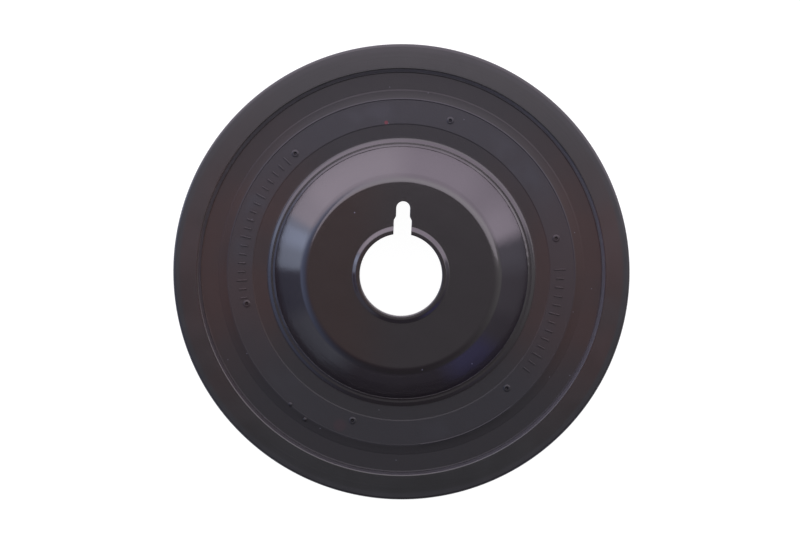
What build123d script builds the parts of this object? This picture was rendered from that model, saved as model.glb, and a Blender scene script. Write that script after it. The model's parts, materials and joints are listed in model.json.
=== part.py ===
"""Crankshaft vibration damper: pressed steel hub, vulcanised rubber spring and grooved belt ring.

Sizes are in millimetres. The shaft axis is Z, the hat of the hub points along +Z and the key slot
along +Y. The rear face of the belt ring lies on z = 0, with the origin on the axis.
"""
from build123d import *
import math
import os

# Pressed hub: a flat top, a cone and a cylindrical flange from one sheet
SHEET = 3.5
HAT_RISE = 9.9
HAT_CORNER_R = 35.8
HAT_SLOPE = 45.0
HAT_BEND_R = 3.8
FLANGE_R = 48.5
FLANGE_BEND_R = 5.0
FLANGE_REAR_GAP = 2.0

# Bore with its raised collar
BORE_R = 15.0
COLLAR_CREST_WIDTH = 1.5
COLLAR_RISE = 1.3
COLLAR_FLANK_WIDTH = 1.4
COLLAR_ROUND = 0.5
BORE_EDGE_CHAMFER = 0.4

# Key slot: a wide mouth and a narrower end with a round tip
MOUTH_WIDTH = 6.7
MOUTH_DEPTH = 4.9
SLOT_WIDTH = 5.2
SLOT_DEPTH = 12.1
SHOULDER_LENGTH = 1.4
SHOULDER_ROUND = 0.9

# Belt ring: one turned steel ring, both the pulley and the inertia mass. Its widths are stacked
# outwards from the spring: seat for the rubber skin, step up to the rim, rim
SPRING_WIDTH = 15.5
SKIN_SEAT_WIDTH = 9.8
STEP_WIDTH = 1.2
STEP_EDGE_ROUND = 0.8
RIM_WIDTH = 9.0
RIM_EDGE_ROUND = 1.0
RING_BORE_CHAMFER = 1.0

# Belt grooves of the ribbed profile
RIB_COUNT = 6
RIB_PITCH = 3.56
GROOVE_ANGLE = 40.0
RIB_TIP_FLAT = 0.5
GROOVE_ROOT_FLAT = 0.95
RIM_THICKNESS = 2.8
RIM_HEIGHT = 2.5

# Rubber: spring between flange and ring bore, skin over the ring's seat, lip round the cone
SKIN_SINK = 1.5
SKIN_THICKNESS = 2.2
SKIN_EDGE_FILLET = 0.25
PLATEAU_RISE = 0.32
PLATEAU_FALL = 0.12
PLATEAU_OVERHANG = 0.5
PLATEAU_RAMP = 2.9
PLATEAU_INSET = 5.75
PLATEAU_INNER_RAMP = 0.4
INNER_RISE = 0.12
LIP_RISE = 0.7
LIP_FLANK_WIDTH = 1.2
LIP_LEDGE_FALL = 0.02
LIP_LEDGE_WIDTH = 0.7
LIP_BEAD_FALL = 0.3
LIP_BEAD_WIDTH = 0.75
LIP_STEP = 0.25
LIP_STEP_WIDTH = 0.1
LIP_CREST_ROUND = 0.6
LIP_FOOT_ROUND = 1.2
FLANGE_SHOW = 1.0
REAR_DISH = 2.5

# Gate marks: small blind pits in the rubber plateau
PIT_COUNT = 6
PIT_R = 0.7
PIT_DEPTH = 0.5
PIT_INSET = 3.3
PIT_PHASE = 74.0

CUT_MARGIN = 1.0

# Heights and radii that follow from the values above
slope = math.radians(HAT_SLOPE)
ring_width = RIB_COUNT * RIB_PITCH + 2 * RIM_THICKNESS
ring_bore_r = FLANGE_R + SPRING_WIDTH
skin_r = ring_bore_r + SKIN_SEAT_WIDTH
step_top_r = skin_r + STEP_WIDTH
ring_r = step_top_r + RIM_WIDTH
skin_z = ring_width - SKIN_SINK
seat_z = skin_z - SKIN_THICKNESS
plateau_z = skin_z + PLATEAU_RISE
hat_z = ring_width + HAT_RISE


def cone_radius(z, depth=0.0):
    """Radius of the cone at height z, on a surface that lies depth inside the sheet."""
    return HAT_CORNER_R + (hat_z - z) / math.tan(slope) - depth / math.sin(slope)


def cone_height(r, depth=0.0):
    """Height of the cone at radius r, on a surface that lies depth inside the sheet."""
    return hat_z - (r - HAT_CORNER_R + depth / math.sin(slope)) * math.tan(slope)


def lip_points():
    """Corners of the lip's profile, from the cone outwards to the skin."""
    crest_z = skin_z + LIP_RISE
    ledge_z = crest_z + LIP_LEDGE_FALL
    bead_z = ledge_z + LIP_BEAD_FALL
    step_z = bead_z - LIP_STEP
    step_r = cone_radius(step_z)
    bead_r = step_r + LIP_STEP_WIDTH
    ledge_r = bead_r + LIP_BEAD_WIDTH
    crest_r = ledge_r + LIP_LEDGE_WIDTH
    foot_r = crest_r + LIP_FLANK_WIDTH
    return (step_r, step_z), (bead_r, bead_z), (ledge_r, ledge_z), (crest_r, crest_z), (foot_r, skin_z)


def profile(*lines):
    """Planar face in the XZ plane, bounded by lines drawn as (radius, height)."""
    edges = [edge for line in lines for edge in line.edges()]
    return Plane.XZ * make_face(edges)


def polygon(*points):
    """Planar face in the XZ plane from straight edges."""
    return profile(Polyline(*points, close=True))


def corner(face, r, z):
    """The vertex of a profile that lies at radius r and height z."""
    return face.vertices().sort_by_distance((r, 0, z))[0]


def turned(face):
    """Solid of revolution about the shaft axis."""
    return revolve(face, axis=Axis.Z)


def hub_outer_line():
    """Front and outer side of the hub sheet, from the bore to the rear end of the flange."""
    crest_z = hat_z + COLLAR_RISE
    crest_r = BORE_R + COLLAR_CREST_WIDTH
    return FilletPolyline(
        (BORE_R + BORE_EDGE_CHAMFER, crest_z),
        (crest_r, crest_z),
        (crest_r + COLLAR_FLANK_WIDTH, hat_z),
        (HAT_CORNER_R, hat_z),
        (FLANGE_R, cone_height(FLANGE_R)),
        (FLANGE_R, FLANGE_REAR_GAP),
        radius=[COLLAR_ROUND, COLLAR_ROUND, HAT_BEND_R, FLANGE_BEND_R],
    )


def hub_inner_line():
    """Rear and inner side of the hub sheet, from the rear end of the flange to the bore."""
    inside_r = FLANGE_R - SHEET
    seat = hat_z - SHEET
    return FilletPolyline(
        (inside_r, FLANGE_REAR_GAP),
        (inside_r, cone_height(inside_r, SHEET)),
        (cone_radius(seat, SHEET), seat),
        (BORE_R, seat),
        radius=[FLANGE_BEND_R - SHEET, HAT_BEND_R - SHEET],
    )


def key_slot():
    """Cutter for the key slot, with its axis along +Y."""
    mouth = MOUTH_WIDTH / 2
    half = SLOT_WIDTH / 2
    shoulder_y = BORE_R + MOUTH_DEPTH
    tip_y = BORE_R + SLOT_DEPTH - half
    side = FilletPolyline(
        (mouth, 0),
        (mouth, shoulder_y),
        (half, shoulder_y + SHOULDER_LENGTH),
        (half, tip_y),
        radius=SHOULDER_ROUND,
    )
    tip = ThreePointArc((half, tip_y), (0, tip_y + half), (-half, tip_y))
    base = Line((-mouth, 0), (mouth, 0))
    outline = make_face(side + tip + mirror(side, Plane.YZ) + base)
    depth = SHEET + COLLAR_RISE + 2 * CUT_MARGIN
    return Pos(0, 0, hat_z - SHEET - CUT_MARGIN) * extrude(outline, depth)


def hub():
    """Pressed hub with its collar, bore and key slot."""
    crest_z = hat_z + COLLAR_RISE
    seat = hat_z - SHEET
    sheet = profile(
        hub_outer_line(),
        Line((FLANGE_R, FLANGE_REAR_GAP), (FLANGE_R - SHEET, FLANGE_REAR_GAP)),
        hub_inner_line(),
        Polyline(
            (BORE_R, seat),
            (BORE_R, crest_z - BORE_EDGE_CHAMFER),
            (BORE_R + BORE_EDGE_CHAMFER, crest_z),
        ),
    )
    return turned(sheet) - key_slot()


def hub_envelope():
    """Profile of everything inside the outer side of the hub, down to the axis."""
    crest_z = hat_z + COLLAR_RISE
    return profile(
        hub_outer_line(),
        Polyline(
            (FLANGE_R, FLANGE_REAR_GAP),
            (0, FLANGE_REAR_GAP),
            (0, crest_z),
            (BORE_R + BORE_EDGE_CHAMFER, crest_z),
        ),
    )


def groove_band():
    """Profile of the belt band: the run between the two rims and one groove for each rib."""
    tip_r = ring_r - RIM_HEIGHT
    half_open = (RIB_PITCH - RIB_TIP_FLAT) / 2
    half_root = GROOVE_ROOT_FLAT / 2
    root_r = tip_r - (half_open - half_root) / math.tan(math.radians(GROOVE_ANGLE / 2))
    outside_r = ring_r + CUT_MARGIN
    band = polygon(
        (tip_r, RIM_THICKNESS),
        (outside_r, RIM_THICKNESS),
        (outside_r, ring_width - RIM_THICKNESS),
        (tip_r, ring_width - RIM_THICKNESS),
    )
    for index in range(RIB_COUNT):
        z = RIM_THICKNESS + (index + 0.5) * RIB_PITCH
        band += polygon(
            (root_r, z - half_root),
            (tip_r, z - half_open),
            (outside_r, z - half_open),
            (outside_r, z + half_open),
            (tip_r, z + half_open),
            (root_r, z + half_root),
        )
    return band


def ring_profile():
    """Profile of the belt ring: rim, stepped seat for the rubber skin and grooves."""
    body = polygon(
        (ring_bore_r, 0),
        (ring_r, 0),
        (ring_r, ring_width),
        (step_top_r, ring_width),
        (skin_r, skin_z),
        (skin_r, seat_z),
        (ring_bore_r, seat_z),
    )
    body = fillet([corner(body, ring_r, 0), corner(body, ring_r, ring_width)], RIM_EDGE_ROUND)
    body = fillet(corner(body, step_top_r, ring_width), STEP_EDGE_ROUND)
    body = chamfer(corner(body, ring_bore_r, 0), RING_BORE_CHAMFER)
    return body - groove_band()


def rubber_blank():
    """Profile of the rubber as the mould shapes it, before hub and ring take their room."""
    rear_z = FLANGE_REAR_GAP + FLANGE_SHOW
    step, bead, ledge, crest, foot = lip_points()
    plateau_in = foot[0] + PLATEAU_INSET
    plateau_out = ring_bore_r + PLATEAU_OVERHANG
    core_r = FLANGE_R - SHEET
    front = Polyline(
        (core_r, rear_z),
        (core_r, step[1]),
        step,
        bead,
        ledge,
        crest,
        foot,
        (plateau_in - PLATEAU_INNER_RAMP, skin_z + INNER_RISE),
        (plateau_in, plateau_z - PLATEAU_FALL),
        (plateau_out, plateau_z),
        (plateau_out + PLATEAU_RAMP, skin_z),
        (skin_r - SKIN_EDGE_FILLET, skin_z),
        (skin_r + SKIN_EDGE_FILLET, skin_z + SKIN_EDGE_FILLET),
        (step_top_r, skin_z + SKIN_EDGE_FILLET),
        (step_top_r, seat_z),
        (ring_bore_r, seat_z),
        (ring_bore_r, rear_z),
    )
    middle_r = (FLANGE_R + ring_bore_r) / 2
    dish = ThreePointArc((ring_bore_r, rear_z), (middle_r, rear_z + REAR_DISH), (FLANGE_R, rear_z))
    end = Line((FLANGE_R, rear_z), (core_r, rear_z))
    blank = profile(front, dish, end)
    blank = fillet(corner(blank, *crest), LIP_CREST_ROUND)
    return fillet(corner(blank, *foot), LIP_FOOT_ROUND)


def gate_pits():
    """Cutters for the gate marks in the plateau."""
    foot_r, _ = lip_points()[-1]
    circle_r = foot_r + PLATEAU_INSET + PIT_INSET
    pit = Cylinder(PIT_R, 2 * PIT_DEPTH)
    spots = PolarLocations(circle_r, PIT_COUNT, start_angle=PIT_PHASE)
    return [Pos(0, 0, plateau_z) * spot * pit for spot in spots]


def rubber():
    """Rubber spring, bonded to the outer side of the hub and to the bore and seat of the ring."""
    section = rubber_blank() - hub_envelope() - ring_profile()
    body = turned(section)
    for pit in gate_pits():
        body -= pit
    return body


def belt_ring():
    """Turned ring with the belt grooves."""
    return turned(ring_profile())


export_step(hub(), "parts/hub.step")
export_step(rubber(), "parts/rubber_spring.step")
export_step(belt_ring(), "parts/belt_ring.step")
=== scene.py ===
"""Crankshaft vibration damper: looks of the pressed hub, the moulded rubber and the turned belt ring."""
import json
import math

import bmesh
import bpy
from bpy.props import FloatProperty, FloatVectorProperty, IntProperty, PointerProperty, StringProperty
from mathutils import Matrix, Vector, noise

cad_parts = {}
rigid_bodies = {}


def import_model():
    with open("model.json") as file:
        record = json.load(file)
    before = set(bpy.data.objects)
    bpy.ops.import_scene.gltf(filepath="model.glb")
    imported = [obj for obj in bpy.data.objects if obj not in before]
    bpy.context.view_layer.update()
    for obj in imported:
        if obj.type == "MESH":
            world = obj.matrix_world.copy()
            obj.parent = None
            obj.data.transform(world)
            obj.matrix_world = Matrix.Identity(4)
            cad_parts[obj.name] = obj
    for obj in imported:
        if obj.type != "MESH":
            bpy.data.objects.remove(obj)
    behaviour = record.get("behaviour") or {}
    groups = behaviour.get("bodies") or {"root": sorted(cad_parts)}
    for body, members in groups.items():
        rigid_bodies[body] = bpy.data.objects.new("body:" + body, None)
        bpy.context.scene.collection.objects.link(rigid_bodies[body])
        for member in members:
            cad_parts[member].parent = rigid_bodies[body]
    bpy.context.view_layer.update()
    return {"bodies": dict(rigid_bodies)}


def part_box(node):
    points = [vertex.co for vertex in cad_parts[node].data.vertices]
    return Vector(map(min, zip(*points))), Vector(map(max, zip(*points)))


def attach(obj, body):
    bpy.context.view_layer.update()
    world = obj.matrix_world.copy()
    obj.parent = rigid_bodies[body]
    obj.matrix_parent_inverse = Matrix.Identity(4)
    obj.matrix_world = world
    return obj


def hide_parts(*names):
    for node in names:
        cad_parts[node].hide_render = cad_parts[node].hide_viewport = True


bl_info = {
    "name": "Crankshaft vibration damper",
    "version": (1, 0, 0),
    "blender": (4, 5, 0),
    "location": "View3D > Sidebar > Damper",
    "description": "Adds the hub, rubber spring and belt ring of a bonded crankshaft damper",
    "category": "Add Mesh",
}

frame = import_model()

MM = 0.001
# A part without joints has just one body.
[BODY] = frame["bodies"]
WHITE = (1, 1, 1, 1)
TURN_STEPS = 360
SHARP_ANGLE = math.radians(50)
# Share of the roundest corner that an outline has room for. A full one would double a point.
NEARLY_FULL = 0.999
_, RING_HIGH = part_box("belt_ring")
HUB_LOW, HUB_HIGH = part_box("hub")
RUBBER_LOW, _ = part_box("rubber_spring")


# -------- properties

def length(name, description, default):
    """A length property with its default in metres."""
    return FloatProperty(name=name, description=description, default=default, unit="LENGTH", precision=5)


def angle(name, description, degrees):
    """An angle property with its default in degrees."""
    return FloatProperty(name=name, description=description, default=math.radians(degrees), subtype="ANGLE")


def paint(name, description, default):
    """A colour property kept as an sRGB hex string."""
    return StringProperty(name=name, description=description, default=default)


class DamperHubSizes(bpy.types.PropertyGroup):
    """Sizes and colours of the pressed hub."""
    top_z: length("Top height", "Height of the flat top above the rear face of the ring", 36.86 * MM)
    sheet: length("Sheet", "Thickness of the pressed sheet", 3.5 * MM)
    bore_r: length("Bore radius", "Radius of the centre bore", 15.0 * MM)
    collar_width: length("Collar crest", "Width of the collar's flat crest", 1.55 * MM)
    collar_flank: length("Collar flank", "Width of the collar's sloping flank", 1.2 * MM)
    collar_dip: length("Collar dip", "Fall of the collar's crest towards the bore", 0.06 * MM)
    corner_r: length("Top corner", "Radius at which the flat top and the cone would meet", 35.8 * MM)
    corner_round: length("Top bend", "Outer bend radius between top and cone", 5.0 * MM)
    knee_r: length("Knee radius", "Radius beyond which the cone flares", 42.5 * MM)
    knee_round: length("Knee bend", "Radius of the bend where the cone starts to flare", 100.0 * MM)
    flare: FloatProperty(name="Flare", description="Slope that the foot of the cone lacks", default=0.035)
    flange_r: length("Flange radius", "Outer radius of the cylindrical flange", HUB_HIGH[0])
    flange_round: length("Flange bend", "Outer bend radius between cone and flange", 5.0 * MM)
    edge_round: length("Punched edge", "Rounding that paint leaves on the punched edges", 0.3 * MM)
    mouth_width: length("Slot mouth", "Width of the key slot at the bore", 6.45 * MM)
    mouth_depth: length("Mouth depth", "Depth of the wide mouth from the bore wall", 4.9 * MM)
    slot_width: length("Slot width", "Width of the key slot beyond its shoulders", 5.0 * MM)
    slot_depth: length("Slot depth", "Depth of the whole key slot from the bore wall", 11.8 * MM)
    shoulder: length("Shoulder", "Length over which the slot narrows", 1.4 * MM)
    shoulder_round: length("Shoulder rounding", "Rounding of the slot's shoulders", 0.9 * MM)
    colour: paint("Paint colour", "sRGB hex of the gloss enamel", "#1a1318")
    baked: paint("Baked colour", "sRGB hex of the enamel where the oven browned it", "#200e0f")
    dust: paint("Dust colour", "sRGB hex of dust specks", "#77788a")


class DamperRubberSizes(bpy.types.PropertyGroup):
    """Sizes and colours of the moulded rubber."""
    skin_z: length("Skin height", "Height of the rubber face beside the rim", 25.46 * MM)
    skin_thickness: length("Skin thickness", "Rubber over the seat of the ring", 2.2 * MM)
    skin_r: length("Skin radius", "Radius at which the skin meets the foot of the step", 73.8 * MM)
    skin_climb: length("Skin climb", "Width of the skin's raised edge", 0.3 * MM)
    spring_r: length("Spring radius", "Outer radius of the spring, in the bore of the ring", 64.0 * MM)
    rear_z: length("Rear height", "Height of the rubber's rear edge", RUBBER_LOW[2])
    dish: length("Rear dish", "Depth of the hollow in the rear face", 2.5 * MM)
    band_rise: length("Band rise", "Height of the raised band's outer edge over the skin", 0.32 * MM)
    band_fall: length("Band fall", "Fall of the raised band towards its inner edge", 0.12 * MM)
    inner_rise: length("Inner rise", "Rise of the inner zone towards the raised band", 0.12 * MM)
    band_in: length("Band inner radius", "Inner edge of the raised band", 54.9 * MM)
    band_out: length("Band outer radius", "Outer edge of the raised band", 64.3 * MM)
    band_ramp: length("Band ramp", "Width of the ramp outside the raised band", 2.6 * MM)
    band_edge: length("Band inner edge", "Width of the slope inside the raised band", 0.4 * MM)
    flash_rise: length("Flash rise", "Height of the flash on the band's outer edge", 0.25 * MM)
    flash_width: length("Flash width", "Width of the flash on the band's outer edge", 0.7 * MM)
    crease_rise: length("Crease rise", "Height of the crease at the foot of the ramp", 0.18 * MM)
    crease_width: length("Crease width", "Width of the crease at the foot of the ramp", 0.5 * MM)
    lip_r: length("Lip radius", "Inner foot of the lip on the cone", 46.43 * MM)
    lip_step: length("Lip step", "Width of the step from the cone up to the bead", 0.07 * MM)
    bead_width: length("Bead width", "Width of the bead's outer slope", 0.75 * MM)
    bead_fall: length("Bead fall", "Fall of the bead's outer slope", 0.3 * MM)
    ledge_width: length("Ledge width", "Width of the ledge between bead and lower slope", 0.8 * MM)
    ledge_fall: length("Ledge fall", "Fall of the ledge", 0.01 * MM)
    lip_flank: length("Lip flank", "Width of the lip's lower slope", 1.2 * MM)
    lip_rise: length("Lip rise", "Height of the lip's lower slope over the skin", 0.7 * MM)
    gate_circle_r: length("Gate circle", "Radius of the circle of gate marks", 58.2 * MM)
    gate_r: length("Gate radius", "Radius of one gate mark", 0.6 * MM)
    gate_depth: length("Gate depth", "Depth of one gate mark", 0.5 * MM)
    gate_bead: length("Gate bead", "Width of the bead round a gate mark", 0.8 * MM)
    gate_shift: length("Gate shift", "Distance from the shaft axis to the gate circle's middle", 0.6 * MM)
    gate_count: IntProperty(name="Gates", description="Number of gate marks", default=6, min=1)
    gate_phase: angle("Gate phase", "Angle of the first gate mark from +X", 74)
    bar_rise: length("Bar rise", "Height of the plain moulded bars", 0.22 * MM)
    bar_width: length("Bar width", "Width of the plain moulded bars", 0.6 * MM)
    colour: paint("Rubber colour", "sRGB hex of the rubber", "#1b191b")
    # Colour of the bloom, also used for painted sheen towards +Y.
    bloom_and_sheen: paint("Bloom colour", "sRGB hex of the pale bloom on the raised band", "#2f2f34")
    stain: paint("Stain colour", "sRGB hex of the brown stain", "#2d1b17")
    dust: paint("Dust colour", "sRGB hex of dust specks", "#5f5f68")
    speck: paint("Speck colour", "sRGB hex of the red speck", "#5e2a33")


class DamperRingSizes(bpy.types.PropertyGroup):
    """Sizes and colours of the turned belt ring."""
    width: length("Width", "Width of the ring", RING_HIGH[2])
    radius: length("Radius", "Radius over the rims", RING_HIGH[0])
    rim_round: length("Rim edge", "Rounding of the rim's outer edges", 1.0 * MM)
    rim_thickness: length("Rim thickness", "Thickness of each rim beside the grooves", 2.8 * MM)
    rim_height: length("Rim height", "Height of the rims over the rib tips", 2.5 * MM)
    step_r: length("Step radius", "Radius of the step's upper edge", 74.85 * MM)
    step_foot: length("Step foot", "Bare ledge between the skin and the foot of the step", 0.1 * MM)
    step_round: length("Step edge", "Rounding of the step's upper edge", 0.75 * MM)
    bore_chamfer: length("Bore chamfer", "Chamfer at the rear end of the bore", 1.0 * MM)
    rib_count: IntProperty(name="Ribs", description="Number of belt ribs", default=6, min=1)
    rib_pitch: length("Rib pitch", "Distance between two grooves", 3.56 * MM)
    tip_flat: length("Rib tip", "Width of the flat on a rib tip", 0.5 * MM)
    root_flat: length("Groove root", "Width of the flat in a groove root", 0.95 * MM)
    groove_angle: angle("Groove angle", "Angle between the flanks of a groove", 40)
    colour: paint("Coat colour", "sRGB hex of the matt coat", "#121113")
    worn: paint("Worn colour", "sRGB hex of the paler coat at the rim's edge", "#1d1c1f")
    # Painted light: the pale colour laid on the step to stand for the light it catches.
    step_light: paint("Chalk colour", "sRGB hex of the release agent left on the step", "#4c4b4f")
    stain: paint("Stain colour", "sRGB hex of the brown stain", "#2a1716")


class DamperStageSettings(bpy.types.PropertyGroup):
    """Camera, floor, cards and softbox."""
    distance: length("Camera distance", "Distance from the camera to the front face", 1.25)
    tilt: angle("Camera tilt", "Angle by which the camera stands off the shaft axis, upwards", 3.75)
    lean: angle("Camera lean", "Angle by which the camera stands off the shaft axis, to the right", 0.76)
    roll: angle("Camera roll", "Angle by which the key slot leans to the right in the picture", 2.0)
    view_width: length("View width", "Width of the picture at the front face", 294.1 * MM)
    aim_left: length("Aim left", "How far the picture's middle lies left of the shaft axis", 0.45 * MM)
    aim_up: length("Aim up", "How far the picture's middle lies above the shaft axis", 2.36 * MM)
    floor_size: length("Floor size", "Side of the floor", 6.0)
    floor_colour: paint("Floor colour", "sRGB hex of the floor under the shadow", "#808083")
    floor_glow: FloatProperty(
        name="Floor glow", description="Brightness of the floor in view and in reflections", default=0.97,
    )
    tent_r: length("Tent radius", "Radius of the ring of cards round the part", 0.25)
    tent_low: length("Tent low side", "Height of the cards beside and before the part", 0.15)
    tent_high: length("Tent high side", "Height of the cards beyond the key slot", 0.45)
    tent_strength: FloatProperty(name="Tent strength", description="Brightness of the cards", default=2.75)
    softbox_place: FloatVectorProperty(
        name="Softbox place", description="Middle of the softbox, which faces straight down",
        default=(0.2, 0.45, 0.6), subtype="TRANSLATION", unit="LENGTH",
    )
    softbox_width: length("Softbox width", "Side of the softbox along X", 1.0)
    softbox_depth: length("Softbox depth", "Side of the softbox along Y", 0.8)
    softbox_power: FloatProperty(name="Softbox power", description="Its power", default=3.9, unit="POWER")
    softbox_colour: paint("Softbox colour", "sRGB hex of the softbox", "#fcefff")


# -------- mesh helpers

def round_corner(bm, vert, radius, segments):
    """Rounds one corner of a section. The bevel's offset runs along the edges, so it follows the turn."""
    ends = [edge.other_vert(vert).co - vert.co for edge in vert.link_edges]
    turn = math.pi - ends[0].angle(ends[1])
    bmesh.ops.bevel(
        bm, geom=[vert], offset=radius * math.tan(turn / 2), offset_type="OFFSET",
        affect="VERTICES", segments=segments, profile=0.5, material=-1,
    )


def section(bm, corners, segments):
    """Closed outline in the XZ plane from corners (radius, height, rounding)."""
    verts = [bm.verts.new((r, 0, z)) for r, z, _ in corners]
    for first, second in zip(verts, verts[1:] + verts[:1]):
        bm.edges.new((first, second))
    for vert, (_, _, rounding) in zip(verts, corners):
        if rounding:
            round_corner(bm, vert, rounding, segments)


def turn_section(bm):
    """Spins the whole section once about the shaft axis."""
    bmesh.ops.spin(
        bm, geom=bm.verts[:] + bm.edges[:], cent=(0, 0, 0), axis=(0, 0, 1), dvec=(0, 0, 0),
        angle=2 * math.pi, steps=TURN_STEPS, use_merge=True, use_duplicate=False,
    )
    bmesh.ops.recalc_face_normals(bm, faces=bm.faces[:])


def mesh_object(name, bm):
    """Object at the origin with the bmesh as its mesh."""
    mesh = bpy.data.meshes.new(name)
    bm.to_mesh(mesh)
    bm.free()
    piece = bpy.data.objects.new(name, mesh)
    bpy.context.scene.collection.objects.link(piece)
    return piece


def combine(piece, other, operation):
    """Applies an exact boolean between the piece and another object, then deletes the other."""
    cut = piece.modifiers.new("combine", "BOOLEAN")
    cut.operation = operation
    cut.solver = "EXACT"
    cut.object = other
    graph = bpy.context.evaluated_depsgraph_get()
    mesh = bpy.data.meshes.new_from_object(piece.evaluated_get(graph))
    piece.modifiers.clear()
    old = piece.data
    piece.data = mesh
    mesh.name = piece.name
    bpy.data.meshes.remove(old)
    bpy.data.objects.remove(other)


def grown(corners, grow):
    """Corners of an anticlockwise outline (x, y, rounding), moved outwards by grow."""
    moved = []
    for index, (x, y, rounding) in enumerate(corners):
        here = Vector((x, y))
        arrive = (here - Vector(corners[index - 1][:2])).normalized()
        leave = (Vector(corners[(index + 1) % len(corners)][:2]) - here).normalized()
        sides = Vector((arrive.y + leave.y, -arrive.x - leave.x))
        there = here + sides * grow / (1 + arrive.dot(leave))
        change = grow if arrive.cross(leave) > 0 else -grow
        moved.append((there.x, there.y, max(rounding + change, 0) if rounding else 0))
    return moved


def rounded(corners, steps=10):
    """Points of a closed outline from corners (x, y, rounding), equally many at each rounding."""
    points = []
    for index, (x, y, rounding) in enumerate(corners):
        here = Vector((x, y))
        if not rounding:
            points.append(here)
            continue
        back = (Vector(corners[index - 1][:2]) - here).normalized()
        on = (Vector(corners[(index + 1) % len(corners)][:2]) - here).normalized()
        half = back.angle(on) / 2
        centre = here + (back + on).normalized() * rounding / math.sin(half)
        first = here + back * rounding / math.tan(half) - centre
        turn = math.copysign(math.pi - 2 * half, on.cross(back))
        for step in range(steps + 1):
            points.append(centre + Matrix.Rotation(turn * step / steps, 2) @ first)
    return points


def circle(x, y, radius, steps=24):
    """Points of a circle."""
    turns = [2 * math.pi * step / steps for step in range(steps)]
    return [Vector((x + radius * math.cos(turn), y + radius * math.sin(turn))) for turn in turns]


def loft(bm, layers):
    """Closed solid through layers (points, z), from the lowest up, all with the same number of points."""
    rows = [[bm.verts.new((point.x, point.y, z)) for point in points] for points, z in layers]
    for low, high in zip(rows, rows[1:]):
        for index in range(len(low)):
            bm.faces.new((low[index - 1], low[index], high[index], high[index - 1]))
    bm.faces.new(reversed(rows[0]))
    bm.faces.new(rows[-1])


def finish_piece(piece, material, node):
    """Smooths a piece but for its sharp edges, gives it its finish and ties it to the frame."""
    mesh = piece.data
    mesh.materials.clear()
    mesh.materials.append(material)
    mesh.polygons.foreach_set("use_smooth", [True] * len(mesh.polygons))
    mesh.set_sharp_from_angle(angle=SHARP_ANGLE)
    weighted = piece.modifiers.new("even shading", "WEIGHTED_NORMAL")
    weighted.keep_sharp = True
    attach(piece, BODY)
    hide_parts(node)


# -------- material helpers

def linear(hex_colour):
    """Linear RGBA of an sRGB hex colour."""
    channels = [int(hex_colour[i:i + 2], 16) / 255 for i in (1, 3, 5)]
    return [c / 12.92 if c <= 0.04045 else ((c + 0.055) / 1.055) ** 2.4 for c in channels] + [1.0]


def add_node(tree, kind, inputs=None, **settings):
    """Adds a node, sets its properties and sets or links its inputs."""
    made = tree.nodes.new(kind)
    for name, value in settings.items():
        setattr(made, name, value)
    for name, value in (inputs or {}).items():
        if isinstance(value, bpy.types.NodeSocket):
            tree.links.new(value, made.inputs[name])
        else:
            made.inputs[name].default_value = value
    return made


def new_material(name):
    """Empty node material and its tree."""
    material = bpy.data.materials.new(name)
    material.use_nodes = True
    material.node_tree.nodes.clear()
    return material, material.node_tree


def show(tree, shader):
    """Makes a shader the surface of the material."""
    add_node(tree, "ShaderNodeOutputMaterial", {"Surface": shader})


def shaded_point(tree):
    """Place of the shaded point on the piece, with its X and Y."""
    place = add_node(tree, "ShaderNodeTexCoord").outputs["Object"]
    parts = add_node(tree, "ShaderNodeSeparateXYZ", {"Vector": place})
    return place, parts.outputs["X"], parts.outputs["Y"]


def blend(tree, factor, first, second):
    """Mix of two colours. Inputs 6 and 7 and output 2 of the node are its colours."""
    return add_node(tree, "ShaderNodeMix", {0: factor, 6: first, 7: second}, data_type="RGBA").outputs[2]


def ease(tree, value, start, end, low=0.0, high=1.0):
    """Smooth change from low to high while the value goes from start to end."""
    return add_node(tree, "ShaderNodeMapRange", {
        "Value": value, "From Min": start, "From Max": end, "To Min": low, "To Max": high,
    }, interpolation_type="SMOOTHSTEP").outputs["Result"]


def calc(tree, operation, first, second=0.0, third=0.0):
    """Result of a math node."""
    return add_node(tree, "ShaderNodeMath", {
        0: first, 1: second, 2: third,
    }, operation=operation).outputs["Value"]


def grain(tree, place, size, detail=2.0):
    """Noise whose lumps have about the given size."""
    return add_node(tree, "ShaderNodeTexNoise", {
        "Vector": place, "Scale": 1 / size, "Detail": detail,
    }).outputs["Fac"]


def from_axis(tree, place, x=0.0, y=0.0):
    """Distance of a point from the shaft axis, or from an upright line at (x, y)."""
    flat = add_node(tree, "ShaderNodeVectorMath", {0: place, 1: (1, 1, 0)}, operation="MULTIPLY")
    return add_node(tree, "ShaderNodeVectorMath", {
        0: flat.outputs["Vector"], 1: (x, y, 0),
    }, operation="DISTANCE").outputs["Value"]


def spot(tree, place, degrees, reach, radius):
    """Mask of a small round spot at an angle from +X and a distance from the shaft axis."""
    turn = math.radians(degrees)
    away = from_axis(tree, place, reach * math.cos(turn), reach * math.sin(turn))
    return ease(tree, away, start=radius, end=radius / 2)


def dust(tree, place, spacing, size, share):
    """Mask of sparse dust specks: spacing apart, about size across, in a share of the cells."""
    cells = add_node(tree, "ShaderNodeTexVoronoi", {
        "Vector": place, "Scale": 1 / spacing,
    }, voronoi_dimensions="2D")
    reach = size / 2 / spacing
    core = reach * 0.4
    speck = ease(tree, cells.outputs["Distance"], start=reach, end=core)
    chance = add_node(tree, "ShaderNodeSeparateColor", {"Color": cells.outputs["Color"]}).outputs["Red"]
    return calc(tree, "MULTIPLY", speck, calc(tree, "LESS_THAN", chance, share))


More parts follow.
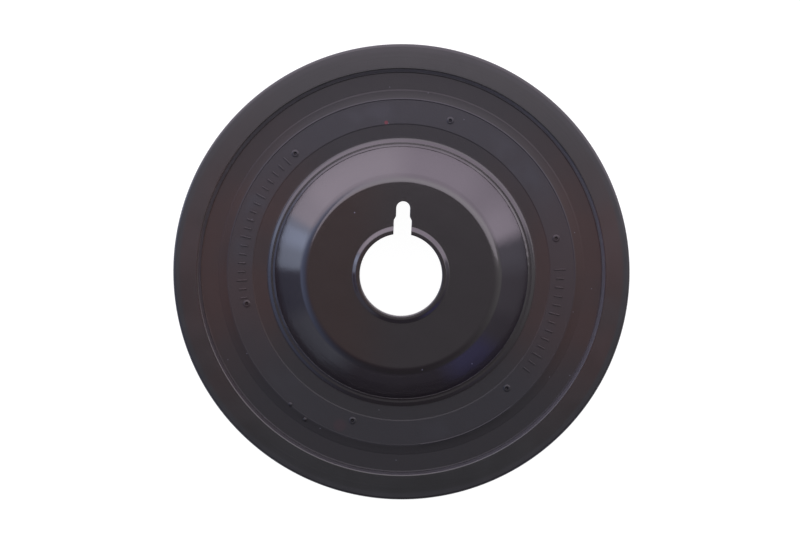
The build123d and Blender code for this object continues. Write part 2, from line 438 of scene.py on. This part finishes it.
def gloss_enamel(sizes):
    """Gloss black stoving enamel on pressed steel.

    The clear top layer gives sharp reflections over a softer one in the pigment. Orange peel and the
    waves left by pressing make them swim a little, and dust leaves a few pale specks. The oven has
    browned the left side of the flat top.
    """
    material, tree = new_material("gloss_black_stoving_enamel")
    place, x, _ = shaded_point(tree)
    waves = add_node(tree, "ShaderNodeBump", {
        "Height": grain(tree, place, size=16 * MM, detail=1.0), "Distance": 0.12 * MM,
    }).outputs["Normal"]
    peel = add_node(tree, "ShaderNodeBump", {
        "Height": grain(tree, place, size=1.8 * MM), "Distance": 0.015 * MM, "Normal": waves,
    }).outputs["Normal"]
    specks = dust(tree, place, spacing=9 * MM, size=0.5 * MM, share=0.05)
    to_left = ease(tree, x, start=2 * MM, end=-22 * MM)
    top_edge = sizes.corner_r - 0.3 * MM
    on_top = ease(tree, from_axis(tree, place), start=top_edge, end=top_edge - 1.5 * MM)
    baked = calc(tree, "MULTIPLY", to_left, on_top)
    paint_colour = blend(tree, baked, linear(sizes.colour), linear(sizes.baked))
    shader = add_node(tree, "ShaderNodeBsdfPrincipled", {
        "Base Color": blend(tree, specks, paint_colour, linear(sizes.dust)),
        "Roughness": 0.17, "IOR": 1.5, "Normal": peel,
        "Coat Weight": 1.0, "Coat Roughness": 0.1, "Coat IOR": 1.5, "Coat Normal": peel,
    })
    show(tree, shader.outputs["BSDF"])
    return material


def moulded_rubber(sizes, enamel_colour):
    """Moulded black rubber, dull and finely grained.

    Brown patches stain it at the sides. The raised band has a pale bluish bloom, cloudy between the gate
    marks, with painted sheen that makes it paler towards +Y. Enamel sprayed on the hub also covers the lip
    and makes it glossy.
    """
    material, tree = new_material("moulded_black_rubber")
    place, _, y = shaded_point(tree)
    radius = from_axis(tree, place)
    bloom_and_sheen = band_bloom_and_sheen(tree, sizes)
    stain_lift = 0.1
    offset = calc(tree, "SUBTRACT", calc(tree, "DIVIDE", y, radius), stain_lift)
    sides = ease(tree, calc(tree, "ABSOLUTE", offset), start=0.82, end=0.32)
    patches = ease(tree, grain(tree, place, size=30 * MM), start=0.3, end=0.6, low=0.45, high=1.0)
    stain = calc(tree, "MULTIPLY", sides, patches)
    specks = dust(tree, place, spacing=7 * MM, size=0.45 * MM, share=0.12)
    speck = spot(tree, place, degrees=97.7, reach=55.5 * MM, radius=0.9 * MM)
    smear = spot(tree, place, degrees=250.1, reach=60.8 * MM, radius=3 * MM)
    smear_share = 0.09
    red = calc(tree, "MAXIMUM", speck, calc(tree, "MULTIPLY", smear, smear_share))
    foot_r = lip_radii(sizes)[-1]
    sprayed = ease(tree, radius, start=foot_r + 0.6 * MM, end=foot_r - 0.3 * MM)
    colour = blend(tree, stain, linear(sizes.colour), linear(sizes.stain))
    # Bloom, with painted sheen towards +Y.
    colour = blend(tree, bloom_and_sheen, colour, linear(sizes.bloom_and_sheen))
    colour = blend(tree, specks, colour, linear(sizes.dust))
    colour = blend(tree, red, colour, linear(sizes.speck))
    colour = blend(tree, sprayed, colour, linear(enamel_colour))
    bump = add_node(tree, "ShaderNodeBump", {
        "Height": grain(tree, place, size=0.5 * MM), "Distance": 0.02 * MM,
    }).outputs["Normal"]
    ramp_end_r = sizes.band_out + sizes.band_ramp
    rough = ease(tree, radius, start=sizes.band_out, end=ramp_end_r, low=0.39, high=0.46)
    sprayed_change = -0.17
    shader = add_node(tree, "ShaderNodeBsdfPrincipled", {
        "Base Color": colour, "Roughness": calc(tree, "MULTIPLY_ADD", sprayed, sprayed_change, rough),
        "IOR": 1.46, "Normal": bump, "Coat Weight": sprayed, "Coat Roughness": 0.16,
    })
    show(tree, shader.outputs["BSDF"])
    return material


def band_bloom_and_sheen(tree, sizes):
    """Mask of the bloom and of painted sheen: the bloom is strongest on the raised band, and the painted
    sheen makes it paler towards +Y, where the light falls.
    """
    place, x, y = shaded_point(tree)
    radius = from_axis(tree, place)
    edge = 0.3 * MM
    band = calc(
        tree, "MULTIPLY",
        ease(tree, radius, start=sizes.band_in - edge, end=sizes.band_in + edge, low=0.2, high=1.0),
        ease(tree, radius, start=sizes.band_out + edge, end=sizes.band_out - edge),
    )
    turn = calc(tree, "ARCTAN2", y, x)
    # The cosine is -1 at each gate mark and 1 halfway between two of them.
    phase = math.pi - sizes.gate_count * sizes.gate_phase
    cosine = calc(tree, "COSINE", calc(tree, "MULTIPLY_ADD", turn, sizes.gate_count, phase))
    lobes = ease(tree, cosine, start=-0.6, end=1.0)
    clouds = ease(tree, grain(tree, place, size=11 * MM), start=0.38, end=0.68)
    middle = ease(tree, radius, start=sizes.band_out, end=sizes.band_out - 4 * MM)
    cloudy = calc(tree, "MULTIPLY", calc(tree, "MULTIPLY", lobes, clouds), middle)
    plain_share = 0.5
    cloud_share = 0.32
    bloom_and_sheen = calc(tree, "MULTIPLY", band, calc(tree, "MULTIPLY_ADD", cloudy, cloud_share, plain_share))
    # Painted sheen: the band is paler towards +Y, where the light falls, and dimmer towards -Y.
    painted_sheen_upwards = ease(tree, y, start=-40 * MM, end=50 * MM, low=0.5, high=1.2)
    return calc(tree, "MULTIPLY", bloom_and_sheen, painted_sheen_upwards)


def matt_coat(sizes):
    """Matt black dip coat on turned steel.

    The lathe's lines show through as faint circles with soft streaks along them. Brown patches stain
    the sides, the coat is paler where it thins at the rim's edge, and the step carries painted light,
    paler all round and most at the upper right, but for its rubbed upper edge.
    """
    material, tree = new_material("matt_black_coat_on_turned_steel")
    place, x, y = shaded_point(tree)
    radius = from_axis(tree, place)
    lines = add_node(tree, "ShaderNodeTexNoise", {
        "W": radius, "Scale": 1 / (0.7 * MM), "Detail": 2.0,
    }, noise_dimensions="1D").outputs["Fac"]
    streaks = grain(tree, place, size=12 * MM)
    bump = add_node(tree, "ShaderNodeBump", {
        "Height": calc(tree, "MULTIPLY", lines, streaks), "Distance": 0.035 * MM,
    }).outputs["Normal"]
    offset = calc(tree, "DIVIDE", calc(tree, "ABSOLUTE", y), radius)
    sides = ease(tree, offset, start=0.9, end=0.2)
    patches = ease(tree, grain(tree, place, size=40 * MM), start=0.35, end=0.65, low=0.3, high=1.0)
    stain = calc(tree, "MULTIPLY", sides, patches)
    # Painted light on the step: paler all round, and seen from the front strongest at the upper right,
    # fading towards the lower left.
    reach = calc(tree, "MULTIPLY_ADD", x, 0.5, y)
    painted_step_light = calc(
        tree, "MULTIPLY",
        ease(tree, radius, start=sizes.step_r + 0.2 * MM, end=sizes.step_r - 0.3 * MM),
        ease(tree, reach, start=-90 * MM, end=90 * MM, low=0.33, high=1.0),
    )
    thin = ease(tree, radius, start=sizes.radius - 3.2 * MM, end=sizes.radius - 1.8 * MM)
    colour = blend(tree, stain, linear(sizes.colour), linear(sizes.stain))
    # Painted light laid on the step.
    colour = blend(tree, painted_step_light, colour, linear(sizes.step_light))
    colour = blend(tree, thin, colour, linear(sizes.worn))
    off_edge = calc(tree, "ABSOLUTE", calc(tree, "SUBTRACT", radius, sizes.step_r + 0.1 * MM))
    rubbed = ease(tree, off_edge, start=0.6 * MM, end=0.2 * MM)
    # Roughness rises where the step carries painted light.
    step_light_roughness_change = 0.27
    rubbed_change = -0.12
    rough = ease(tree, streaks, start=0.3, end=0.7, low=0.3, high=0.36)
    rough = calc(tree, "MULTIPLY_ADD", painted_step_light, step_light_roughness_change, rough)
    rough = calc(tree, "MULTIPLY_ADD", rubbed, rubbed_change, rough)
    shader = add_node(tree, "ShaderNodeBsdfPrincipled", {
        "Base Color": colour, "Roughness": rough, "IOR": 1.6, "Normal": bump,
    })
    show(tree, shader.outputs["BSDF"])
    return material


# -------- pieces

def cone_radius(hub, z, depth=0.0):
    """Radius of the hub's 45 degree cone at height z, depth inside the sheet."""
    return hub.corner_r + hub.top_z - z - depth * math.sqrt(2)


def cone_height(hub, r, depth=0.0):
    """Height of the hub's 45 degree cone, flatter beyond its knee, at radius r, depth inside the sheet."""
    flare = max(r - hub.knee_r, 0) * hub.flare
    return hub.top_z + hub.corner_r - r - depth * math.sqrt(2) + flare


def hub_corners(hub):
    """Section of the hub sheet."""
    seat_z = hub.top_z - hub.sheet
    inner_r = hub.flange_r - hub.sheet
    crest_z = HUB_HIGH[2]
    crest_r = hub.bore_r + hub.collar_width
    soft = hub.edge_round
    collar_round = 1.5 * soft
    return [
        (hub.bore_r, crest_z - hub.collar_dip, collar_round),
        (crest_r, crest_z, collar_round),
        (crest_r + hub.collar_flank, hub.top_z, collar_round),
        (hub.corner_r, hub.top_z, hub.corner_round),
        (hub.knee_r, cone_height(hub, hub.knee_r), hub.knee_round),
        (hub.flange_r, cone_height(hub, hub.flange_r), hub.flange_round),
        (hub.flange_r, HUB_LOW[2], soft),
        (inner_r, HUB_LOW[2], soft),
        (inner_r, cone_height(hub, inner_r, hub.sheet), hub.flange_round - hub.sheet),
        (cone_radius(hub, seat_z, hub.sheet), seat_z, soft),
        (hub.bore_r, seat_z, soft),
    ]


def slot_outline(hub, start_y):
    """Corners of the key slot from start_y outwards."""
    mouth = hub.mouth_width / 2
    half = hub.slot_width / 2
    shoulder_y = hub.bore_r + hub.mouth_depth
    narrow_y = shoulder_y + hub.shoulder
    end_y = hub.bore_r + hub.slot_depth
    side = [
        (mouth, start_y, 0),
        (mouth, shoulder_y, hub.shoulder_round),
        (half, narrow_y, hub.shoulder_round),
        (half, end_y, half * NEARLY_FULL),
    ]
    return side + [(-x, y, rounding) for x, y, rounding in reversed(side)]


def slot_cutter(hub):
    """Prism with the outline of the key slot, taller than the sheet."""
    bm = bmesh.new()
    outline = rounded(slot_outline(hub, start_y=0))
    loft(bm, [(outline, hub.top_z - 2 * hub.sheet), (outline, hub.top_z + 2 * hub.sheet)])
    return mesh_object("slot_cutter", bm)


def slot_edge_cutter(hub):
    """Flare that rounds the upper edge of the key slot beyond the collar."""
    radius = hub.edge_round
    clear = 0.05 * MM
    start_y = hub.bore_r + hub.collar_width + hub.collar_flank + 2 * radius
    corners = slot_outline(hub, start_y)
    layers = [(rounded(grown(corners, -clear)), hub.top_z - radius - clear)]
    for degrees in range(0, 81, 16):
        turn = math.radians(degrees)
        layers.append((
            rounded(grown(corners, radius * (1 - math.cos(turn)))),
            hub.top_z - radius + radius * math.sin(turn),
        ))
    layers.append((rounded(grown(corners, radius + clear)), hub.top_z + clear))
    bm = bmesh.new()
    loft(bm, layers)
    return mesh_object("slot_edge_cutter", bm)


class DAMPER_OT_add_hub(bpy.types.Operator):
    """Adds the pressed hub with its collar and key slot"""
    bl_idname = "damper.add_hub"
    bl_label = "Add Hub"

    def execute(self, context):
        hub = context.scene.damper_hub
        bm = bmesh.new()
        section(bm, hub_corners(hub), segments=8)
        turn_section(bm)
        piece = mesh_object("pressed_hub", bm)
        combine(piece, slot_cutter(hub), "DIFFERENCE")
        combine(piece, slot_edge_cutter(hub), "DIFFERENCE")
        finish_piece(piece, gloss_enamel(hub), "hub")
        return {"FINISHED"}


# Angles, from +X in degrees, between which the flash is broken into dashes.
DASHES_START = -82
DASHES_END = -50
# Shares of the flash's full height: of a dash, elsewhere before the bore and at the sides, and what
# is added beyond the key slot and by its long waves.
DASH_SHARE = 1.5
FRONT_SHARE = 0.1
SIDE_SHARE = 0.35
BACK_SHARE = 0.75
WAVE_SHARE = 0.3
# Share by which the crease is flattened at the sides and before the bore.
CREASE_LOSS = 0.65
# Lengths, in degrees, of the short and the long waves in flash and lip, and their height on the lip.
RIPPLE = 1.7
SWELL = 9.0
UNEVEN = 0.08 * MM
# Rows of bars: first angle from +X and step in degrees, number of bars, and in mm the distance of
# their middles from the shaft axis and half the length of the long and the short bars.
BAR_ROWS = (
    (137.6, 3.15, 18, 58.75, 1.9, 1.35),
    (3.2, -3.25, 13, 58.4, 2.1, 1.5),
)
# Nibs: angle from +X in degrees and distance from the shaft axis in mm.
NIBS = ((232.0, 63.6), (238.8, 64.9))
# Depth to which raised marks reach into the band.
SUNK = 0.3 * MM


def lip_radii(rubber):
    """Radii of bead, ledge, crest and foot of the lip."""
    bead_r = rubber.lip_r + rubber.lip_step
    ledge_r = bead_r + rubber.bead_width
    crest_r = ledge_r + rubber.ledge_width
    return bead_r, ledge_r, crest_r, crest_r + rubber.lip_flank


def band_height(rubber):
    """Height of the raised band."""
    return rubber.skin_z + rubber.band_rise


def rubber_corners(rubber, hub):
    """Section of the rubber, bonded faces included."""
    skin_z = rubber.skin_z
    seat_z = skin_z - rubber.skin_thickness
    band_z = band_height(rubber)
    crest_z = skin_z + rubber.lip_rise
    ledge_z = crest_z + rubber.ledge_fall
    bead_r, ledge_r, crest_r, foot_r = lip_radii(rubber)
    flash = rubber.flash_width
    flash_top = 0.65 * flash
    ramp_end_r = rubber.band_out + rubber.band_ramp
    skin_edge_rise = 0.8 * rubber.skin_climb
    soft = 0.05 * MM
    fold = 0.3 * MM
    half = (rubber.spring_r - hub.flange_r) / 2
    rear_radius = (half ** 2 + rubber.dish ** 2) / (2 * rubber.dish)
    rear_round = 0.995 * rear_radius
    apex = half * math.tan(math.asin(half / rear_radius))
    return [
        (hub.flange_r, rubber.rear_z, 0),
        (hub.flange_r, cone_height(hub, hub.flange_r), hub.flange_round),
        (rubber.lip_r, cone_height(hub, rubber.lip_r), 0),
        (bead_r, ledge_z + rubber.bead_fall, 0.1 * MM),
        (ledge_r, ledge_z, 0.15 * MM),
        (crest_r, crest_z, fold),
        (foot_r, skin_z, 1.6 * MM),
        (rubber.band_in - rubber.band_edge, skin_z + rubber.inner_rise, fold),
        (rubber.band_in, band_z - rubber.band_fall, fold),
        (rubber.band_out - flash, band_z, soft),
        (rubber.band_out - flash_top, band_z + rubber.flash_rise, soft),
        (rubber.band_out, band_z - soft, 0),
        (ramp_end_r, skin_z + rubber.crease_rise, soft),
        (ramp_end_r + rubber.crease_width, skin_z, soft),
        (rubber.skin_r - rubber.skin_climb, skin_z, fold),
        (rubber.skin_r, skin_z + skin_edge_rise, soft),
        (rubber.skin_r + soft, skin_z, 0),
        (rubber.skin_r, seat_z, 0),
        (rubber.spring_r, seat_z, 0),
        (rubber.spring_r, rubber.rear_z, 0),
        (hub.flange_r + half, rubber.rear_z + apex, rear_round),
    ]


def ruffle(bm, rubber):
    """Makes flash, crease and lip uneven, as rubber leaves the mould.

    The flash is highest beyond the key slot. It is nearly gone before the bore, where one stretch of
    it is broken into dashes.
    """
    band_z = band_height(rubber)
    bead_z = rubber.skin_z + rubber.lip_rise + 0.1 * MM
    half_flash = rubber.flash_width / 2
    half_crease = 0.15 * MM
    for vert in bm.verts:
        radius = vert.co.xy.length
        degrees = math.degrees(math.atan2(vert.co.y, vert.co.x))
        sine = vert.co.y / radius
        ripple = noise.noise(Vector((degrees / RIPPLE, radius / MM, 0.5)))
        swell = noise.noise(Vector((degrees / SWELL, 3.5, 0.0)))
        if abs(radius - rubber.band_out + half_flash) < half_flash:
            rise = max(vert.co.z - band_z, 0)
            vert.co.z = band_z + rise * flash_share(degrees, sine, swell)
        elif abs(radius - rubber.band_out - rubber.band_ramp) < half_crease:
            vert.co.z -= rubber.crease_rise * (CREASE_LOSS - CREASE_LOSS * max(sine, 0))
        elif vert.co.z > bead_z:
            vert.co.z += UNEVEN * (ripple + swell)


def flash_share(degrees, sine, swell):
    """Height of the flash at an angle with the given sine, as a share of its full height."""
    if DASHES_START < degrees < DASHES_END:
        return DASH_SHARE if round(degrees) % 2 else 0.0
    if sine < 0:
        return FRONT_SHARE
    return SIDE_SHARE + BACK_SHARE * sine + WAVE_SHARE * swell


def placed(outline, turn):
    """Points of an outline, drawn along +X, turned about the shaft axis."""
    return [Matrix.Rotation(turn, 2) @ point for point in outline]


def add_bars(bm, rubber):
    """Plain moulded bars in the two bare places of the band, every fifth one longer."""
    band_z = band_height(rubber)
    top_z = band_z + rubber.bar_rise
    edge = 0.1 * MM
    half = rubber.bar_width / 2
    for first, step, count, middle, long_reach, short_reach in BAR_ROWS:
        for index in range(count):
            reach = short_reach if index % 5 else long_reach
            near = (middle - reach) * MM
            far = (middle + reach) * MM
            bar = [(near, -half, 0), (far, -half, 0), (far, half, 0), (near, half, 0)]
            turn = math.radians(first + step * index)
            wide = placed(rounded(bar), turn)
            narrow = placed(rounded(grown(bar, -edge)), turn)
            loft(bm, [(wide, band_z - SUNK), (wide, top_z - edge), (narrow, top_z)])


def add_nibs(bm, rubber):
    """Two nibs of flash on the band."""
    band_z = band_height(rubber)
    for degrees, reach in NIBS:
        turn = math.radians(degrees)
        x = reach * MM * math.cos(turn)
        y = reach * MM * math.sin(turn)
        loft(bm, [
            (circle(x, y, 0.9 * MM), band_z - SUNK),
            (circle(x, y, 0.8 * MM), band_z),
            (circle(x, y, 0.4 * MM), band_z + 0.25 * MM),
        ])


def gate_spots(rubber):
    """Middles (x, y) of the gate marks."""
    count = rubber.gate_count
    turns = [rubber.gate_phase + 2 * math.pi * index / count for index in range(count)]
    reach = rubber.gate_circle_r
    return [(reach * math.cos(turn), reach * math.sin(turn) + rubber.gate_shift) for turn in turns]


def add_gate_beads(bm, rubber):
    """A low bead round each gate mark."""
    band_z = band_height(rubber)
    outer_r = rubber.gate_r + rubber.gate_bead
    crest_r = rubber.gate_r + rubber.gate_bead / 2
    for x, y in gate_spots(rubber):
        loft(bm, [
            (circle(x, y, outer_r), band_z - SUNK),
            (circle(x, y, outer_r), band_z + 0.01 * MM),
            (circle(x, y, crest_r), band_z + 0.28 * MM),
            (circle(x, y, rubber.gate_r), band_z + 0.22 * MM),
        ])


def raised_marks(rubber):
    """All that stands up from the band, as one object. Its solids don't touch each other."""
    bm = bmesh.new()
    add_bars(bm, rubber)
    add_nibs(bm, rubber)
    add_gate_beads(bm, rubber)
    return mesh_object("raised_marks", bm)


def sunk_marks(rubber):
    """Pits in the middle of the gate marks, each narrowing in two slopes."""
    band_z = band_height(rubber)
    radius = rubber.gate_r
    depth = rubber.gate_depth
    bm = bmesh.new()
    for x, y in gate_spots(rubber):
        loft(bm, [
            (circle(x, y, 0.35 * radius), band_z - depth),
            (circle(x, y, 0.8 * radius), band_z - 0.4 * depth),
            (circle(x, y, radius), band_z),
            (circle(x, y, 1.1 * radius), band_z + 0.5 * MM),
        ])
    return mesh_object("sunk_marks", bm)


class DAMPER_OT_add_rubber(bpy.types.Operator):
    """Adds the moulded rubber spring with its front skin"""
    bl_idname = "damper.add_rubber"
    bl_label = "Add Rubber Spring"

    def execute(self, context):
        rubber = context.scene.damper_rubber
        hub = context.scene.damper_hub
        bm = bmesh.new()
        section(bm, rubber_corners(rubber, hub), segments=4)
        turn_section(bm)
        ruffle(bm, rubber)
        piece = mesh_object("moulded_rubber", bm)
        combine(piece, raised_marks(rubber), "UNION")
        combine(piece, sunk_marks(rubber), "DIFFERENCE")
        finish_piece(piece, moulded_rubber(rubber, hub.colour), "rubber_spring")
        return {"FINISHED"}


def ring_corners(ring, rubber):
    """Section of the belt ring."""
    tip_r = ring.radius - ring.rim_height
    half_open = (ring.rib_pitch - ring.tip_flat) / 2
    half_root = ring.root_flat / 2
    root_r = tip_r - (half_open - half_root) / math.tan(ring.groove_angle / 2)
    edge = 0.3 * MM
    rib_round = 0.18 * MM
    seat_z = rubber.skin_z - rubber.skin_thickness
    corners = [
        (rubber.spring_r + ring.bore_chamfer, 0, edge),
        (ring.radius, 0, ring.rim_round),
        (ring.radius, ring.rim_thickness, edge),
        (tip_r, ring.rim_thickness, 0),
    ]
    for index in range(ring.rib_count):
        middle = ring.rim_thickness + (index + 0.5) * ring.rib_pitch
        corners += [
            (tip_r, middle - half_open, rib_round),
            (root_r, middle - half_root, rib_round),
            (root_r, middle + half_root, rib_round),
            (tip_r, middle + half_open, rib_round),
        ]
    return corners + [
        (tip_r, ring.width - ring.rim_thickness, 0),
        (ring.radius, ring.width - ring.rim_thickness, edge),
        (ring.radius, ring.width, ring.rim_round),
        (ring.step_r, ring.width, ring.step_round),
        (rubber.skin_r + ring.step_foot, rubber.skin_z, 0),
        (rubber.skin_r, rubber.skin_z, 0),
        (rubber.skin_r, seat_z, 0),
        (rubber.spring_r, seat_z, 0),
        (rubber.spring_r, ring.bore_chamfer, edge),
    ]


class DAMPER_OT_add_ring(bpy.types.Operator):
    """Adds the turned belt ring"""
    bl_idname = "damper.add_ring"
    bl_label = "Add Belt Ring"

    def execute(self, context):
        ring = context.scene.damper_ring
        bm = bmesh.new()
        section(bm, ring_corners(ring, context.scene.damper_rubber), segments=4)
        turn_section(bm)
        piece = mesh_object("turned_ring", bm)
        finish_piece(piece, matt_coat(ring), "belt_ring")
        return {"FINISHED"}


# -------- stage

# Cards: name, first and last angle in degrees clockwise from +Y, and sRGB hex. The ramp holds up to 16.
CARDS = (
    ("window frame", -91, -84, "#b0b9d1"),
    ("window", -79, -73, "#d2ddfd"),
    ("window post", -70.5, -69.5, "#b9c0d8"),
    ("left wall", -66, -59, "#e2d7e7"),
    ("left softbox", -50, -10, "#efe2f2"),
    ("right softbox", 5, 34, "#dccfe0"),
    ("fold", 46, 50, "#d0c4d4"),
    ("right softbox", 61, 69, "#e0d3e4"),
    ("grey card", 76, 84, "#777680"),
    ("dark card", 94, 108, "#605e65"),
    ("dark card", 116, 124, "#525057"),
    ("blue card", 133, 147, "#4f4e6f"),
    ("black card", 160, 202, "#434047"),
    ("brown card", 216, 240, "#646670"),
    ("dark card", 248, 266, "#505360"),
)


def tent_material(stage):
    """Glowing cards whose colour goes by the direction from the shaft axis.

    They thin out towards their upper edge, so that no hard line shows in the enamel.
    """
    material, tree = new_material("lit_cards")
    _, x, y = shaded_point(tree)
    share = calc(tree, "MULTIPLY_ADD", calc(tree, "ARCTAN2", x, y), 1 / (2 * math.pi), 0.5)
    ramp = add_node(tree, "ShaderNodeValToRGB", {"Fac": share})
    stops = []
    for _, start, end, colour in CARDS:
        stops += [((start + 180) % 360 / 360, colour), ((end + 180) % 360 / 360, colour)]
    stops.sort()
    elements = ramp.color_ramp.elements
    while len(elements) < len(stops):
        elements.new(0.5)
    for element, (position, colour) in zip(elements, stops):
        element.position = position
        element.color = linear(colour)
    glow = add_node(tree, "ShaderNodeEmission", {
        "Color": ramp.outputs["Color"], "Strength": stage.tent_strength,
    })
    height = add_node(tree, "ShaderNodeAttribute", attribute_name="height").outputs["Fac"]
    thinned = add_node(tree, "ShaderNodeMixShader", {
        0: ease(tree, height, start=1.0, end=0.35),
        1: add_node(tree, "ShaderNodeBsdfTransparent").outputs["BSDF"],
        2: glow.outputs["Emission"],
    })
    show(tree, thinned.outputs["Shader"])
    return material


def add_tent(stage):
    """Ring of cards round the part, highest beyond the key slot. The camera doesn't see it."""
    bm = bmesh.new()
    share = bm.verts.layers.float.new("height")
    steps = 180
    foot_z = 0.2 * MM
    rows = []
    for step in range(steps):
        turn = 2 * math.pi * step / steps
        x = stage.tent_r * math.sin(turn)
        y = stage.tent_r * math.cos(turn)
        lift = max(math.cos(turn), 0) ** 0.7
        top_z = stage.tent_low + (stage.tent_high - stage.tent_low) * lift
        low = bm.verts.new((x, y, foot_z))
        high = bm.verts.new((x, y, top_z))
        high[share] = 1.0
        rows.append((low, high))
    for (low, high), (next_low, next_high) in zip(rows, rows[1:] + rows[:1]):
        bm.faces.new((low, next_low, next_high, high))
    tent = mesh_object("card_tent", bm)
    tent.data.materials.append(tent_material(stage))
    tent.visible_camera = False


def add_softbox(stage):
    """Large soft lamp that faces straight down."""
    light = bpy.data.lights.new("overhead_softbox", "AREA")
    light.shape = "RECTANGLE"
    light.size = stage.softbox_width
    light.size_y = stage.softbox_depth
    light.energy = stage.softbox_power
    light.color = linear(stage.softbox_colour)[:3]
    lamp = bpy.data.objects.new(light.name, light)
    lamp.location = stage.softbox_place
    lamp.visible_camera = False
    bpy.context.scene.collection.objects.link(lamp)


def background_ray(tree):
    """1 for camera, glossy and transmission rays, which see the bare background, and 0 for the rest."""
    path = add_node(tree, "ShaderNodeLightPath")
    seen = calc(tree, "MAXIMUM", path.outputs["Is Camera Ray"], path.outputs["Is Glossy Ray"])
    return calc(tree, "MAXIMUM", seen, path.outputs["Is Transmission Ray"])


def add_floor(stage):
    """White floor that keeps the part's shadow."""
    bm = bmesh.new()
    bmesh.ops.create_grid(bm, x_segments=1, y_segments=1, size=stage.floor_size / 2)
    floor = mesh_object("floor", bm)
    material, tree = new_material("white_light_table")
    matt = add_node(tree, "ShaderNodeBsdfDiffuse", {"Color": linear(stage.floor_colour)})
    glow = add_node(tree, "ShaderNodeEmission", {
        "Color": WHITE, "Strength": calc(tree, "MULTIPLY", background_ray(tree), stage.floor_glow),
    })
    both = add_node(tree, "ShaderNodeAddShader", {0: matt.outputs["BSDF"], 1: glow.outputs["Emission"]})
    show(tree, both.outputs["Shader"])
    floor.data.materials.append(material)


def add_world(scene):
    """Dim room, brighter towards +Y and to the sides, bluish at -X. The camera sees it white."""
    world = bpy.data.worlds.new("studio")
    world.use_nodes = True
    scene.world = world
    tree = world.node_tree
    tree.nodes.clear()
    heading = add_node(tree, "ShaderNodeTexCoord").outputs["Generated"]
    parts = add_node(tree, "ShaderNodeSeparateXYZ", {"Vector": heading})
    x = parts.outputs["X"]
    y = parts.outputs["Y"]
    front = ease(tree, y, start=-0.6, end=-0.15, low=0.12, high=0.3)
    back = ease(tree, y, start=-0.12, end=0.4, low=0.0, high=0.65)
    side_strength = ease(tree, x, start=0.0, end=-0.7, low=0.4, high=1.0)
    sides = calc(tree, "MULTIPLY", calc(tree, "POWER", x, 2), side_strength)
    dim = calc(tree, "ADD", calc(tree, "ADD", front, back), sides)
    camera_ray = add_node(tree, "ShaderNodeLightPath").outputs["Is Camera Ray"]
    left = ease(tree, x, start=0.0, end=-0.7)
    tint = calc(tree, "MULTIPLY", left, calc(tree, "SUBTRACT", 1.0, camera_ray))
    background = add_node(tree, "ShaderNodeBackground", {
        "Color": blend(tree, tint, WHITE, linear("#c3d3ff")),
        "Strength": calc(tree, "MAXIMUM", dim, camera_ray),
    })
    add_node(tree, "ShaderNodeOutputWorld", {"Surface": background.outputs["Background"]})


def add_camera(stage, ring):
    """Long lens over the part, leaning towards the key slot and rolled a little."""
    up = Vector((-math.sin(stage.roll), math.cos(stage.roll), 0))
    right = Vector((math.cos(stage.roll), math.sin(stage.roll), 0))
    target = Vector((0, 0, ring.width)) - right * stage.aim_left + up * stage.aim_up
    away = (Vector((0, 0, 1)) + up * math.tan(stage.tilt) + right * math.tan(stage.lean)).normalized()
    data = bpy.data.cameras.new("view_from_front")
    data.lens = data.sensor_width * stage.distance / stage.view_width
    camera = bpy.data.objects.new(data.name, data)
    side = up.cross(away).normalized()
    top = away.cross(side)
    camera.matrix_world = Matrix((side, top, away)).transposed().to_4x4()
    camera.location = target + away * stage.distance
    bpy.context.scene.collection.objects.link(camera)
    bpy.context.scene.camera = camera


class DAMPER_OT_add_stage(bpy.types.Operator):
    """Adds the floor, the cards, the world, the softbox and the camera"""
    bl_idname = "damper.add_stage"
    bl_label = "Add Stage"

    def execute(self, context):
        stage = context.scene.damper_stage
        scene = context.scene
        add_floor(stage)
        add_tent(stage)
        add_world(scene)
        add_softbox(stage)
        add_camera(stage, scene.damper_ring)
        scene.view_settings.view_transform = "Standard"
        return {"FINISHED"}


class DAMPER_PT_panel(bpy.types.Panel):
    """Lists the pieces of the damper"""
    bl_idname = "DAMPER_PT_panel"
    bl_label = "Damper"
    bl_space_type = "VIEW_3D"
    bl_region_type = "UI"
    bl_category = "Damper"

    def draw(self, context):
        for operator in OPERATORS:
            self.layout.operator(operator.bl_idname)


GROUPS = {
    "damper_hub": DamperHubSizes,
    "damper_rubber": DamperRubberSizes,
    "damper_ring": DamperRingSizes,
    "damper_stage": DamperStageSettings,
}
OPERATORS = (DAMPER_OT_add_hub, DAMPER_OT_add_rubber, DAMPER_OT_add_ring, DAMPER_OT_add_stage)


def register():
    """Registers the groups of sizes, the operators and the panel."""
    for name, group in GROUPS.items():
        bpy.utils.register_class(group)
        setattr(bpy.types.Scene, name, PointerProperty(type=group))
    for item in OPERATORS + (DAMPER_PT_panel,):
        bpy.utils.register_class(item)


def unregister():
    """Takes everything out again, in reverse."""
    for item in reversed(OPERATORS + (DAMPER_PT_panel,)):
        bpy.utils.unregister_class(item)
    for name, group in GROUPS.items():
        delattr(bpy.types.Scene, name)
        bpy.utils.unregister_class(group)


def main():
    """Registers the add-on and makes every piece and the stage."""
    register()
    bpy.ops.damper.add_hub()
    bpy.ops.damper.add_rubber()
    bpy.ops.damper.add_ring()
    bpy.ops.damper.add_stage()


if __name__ == "__main__":
    main()
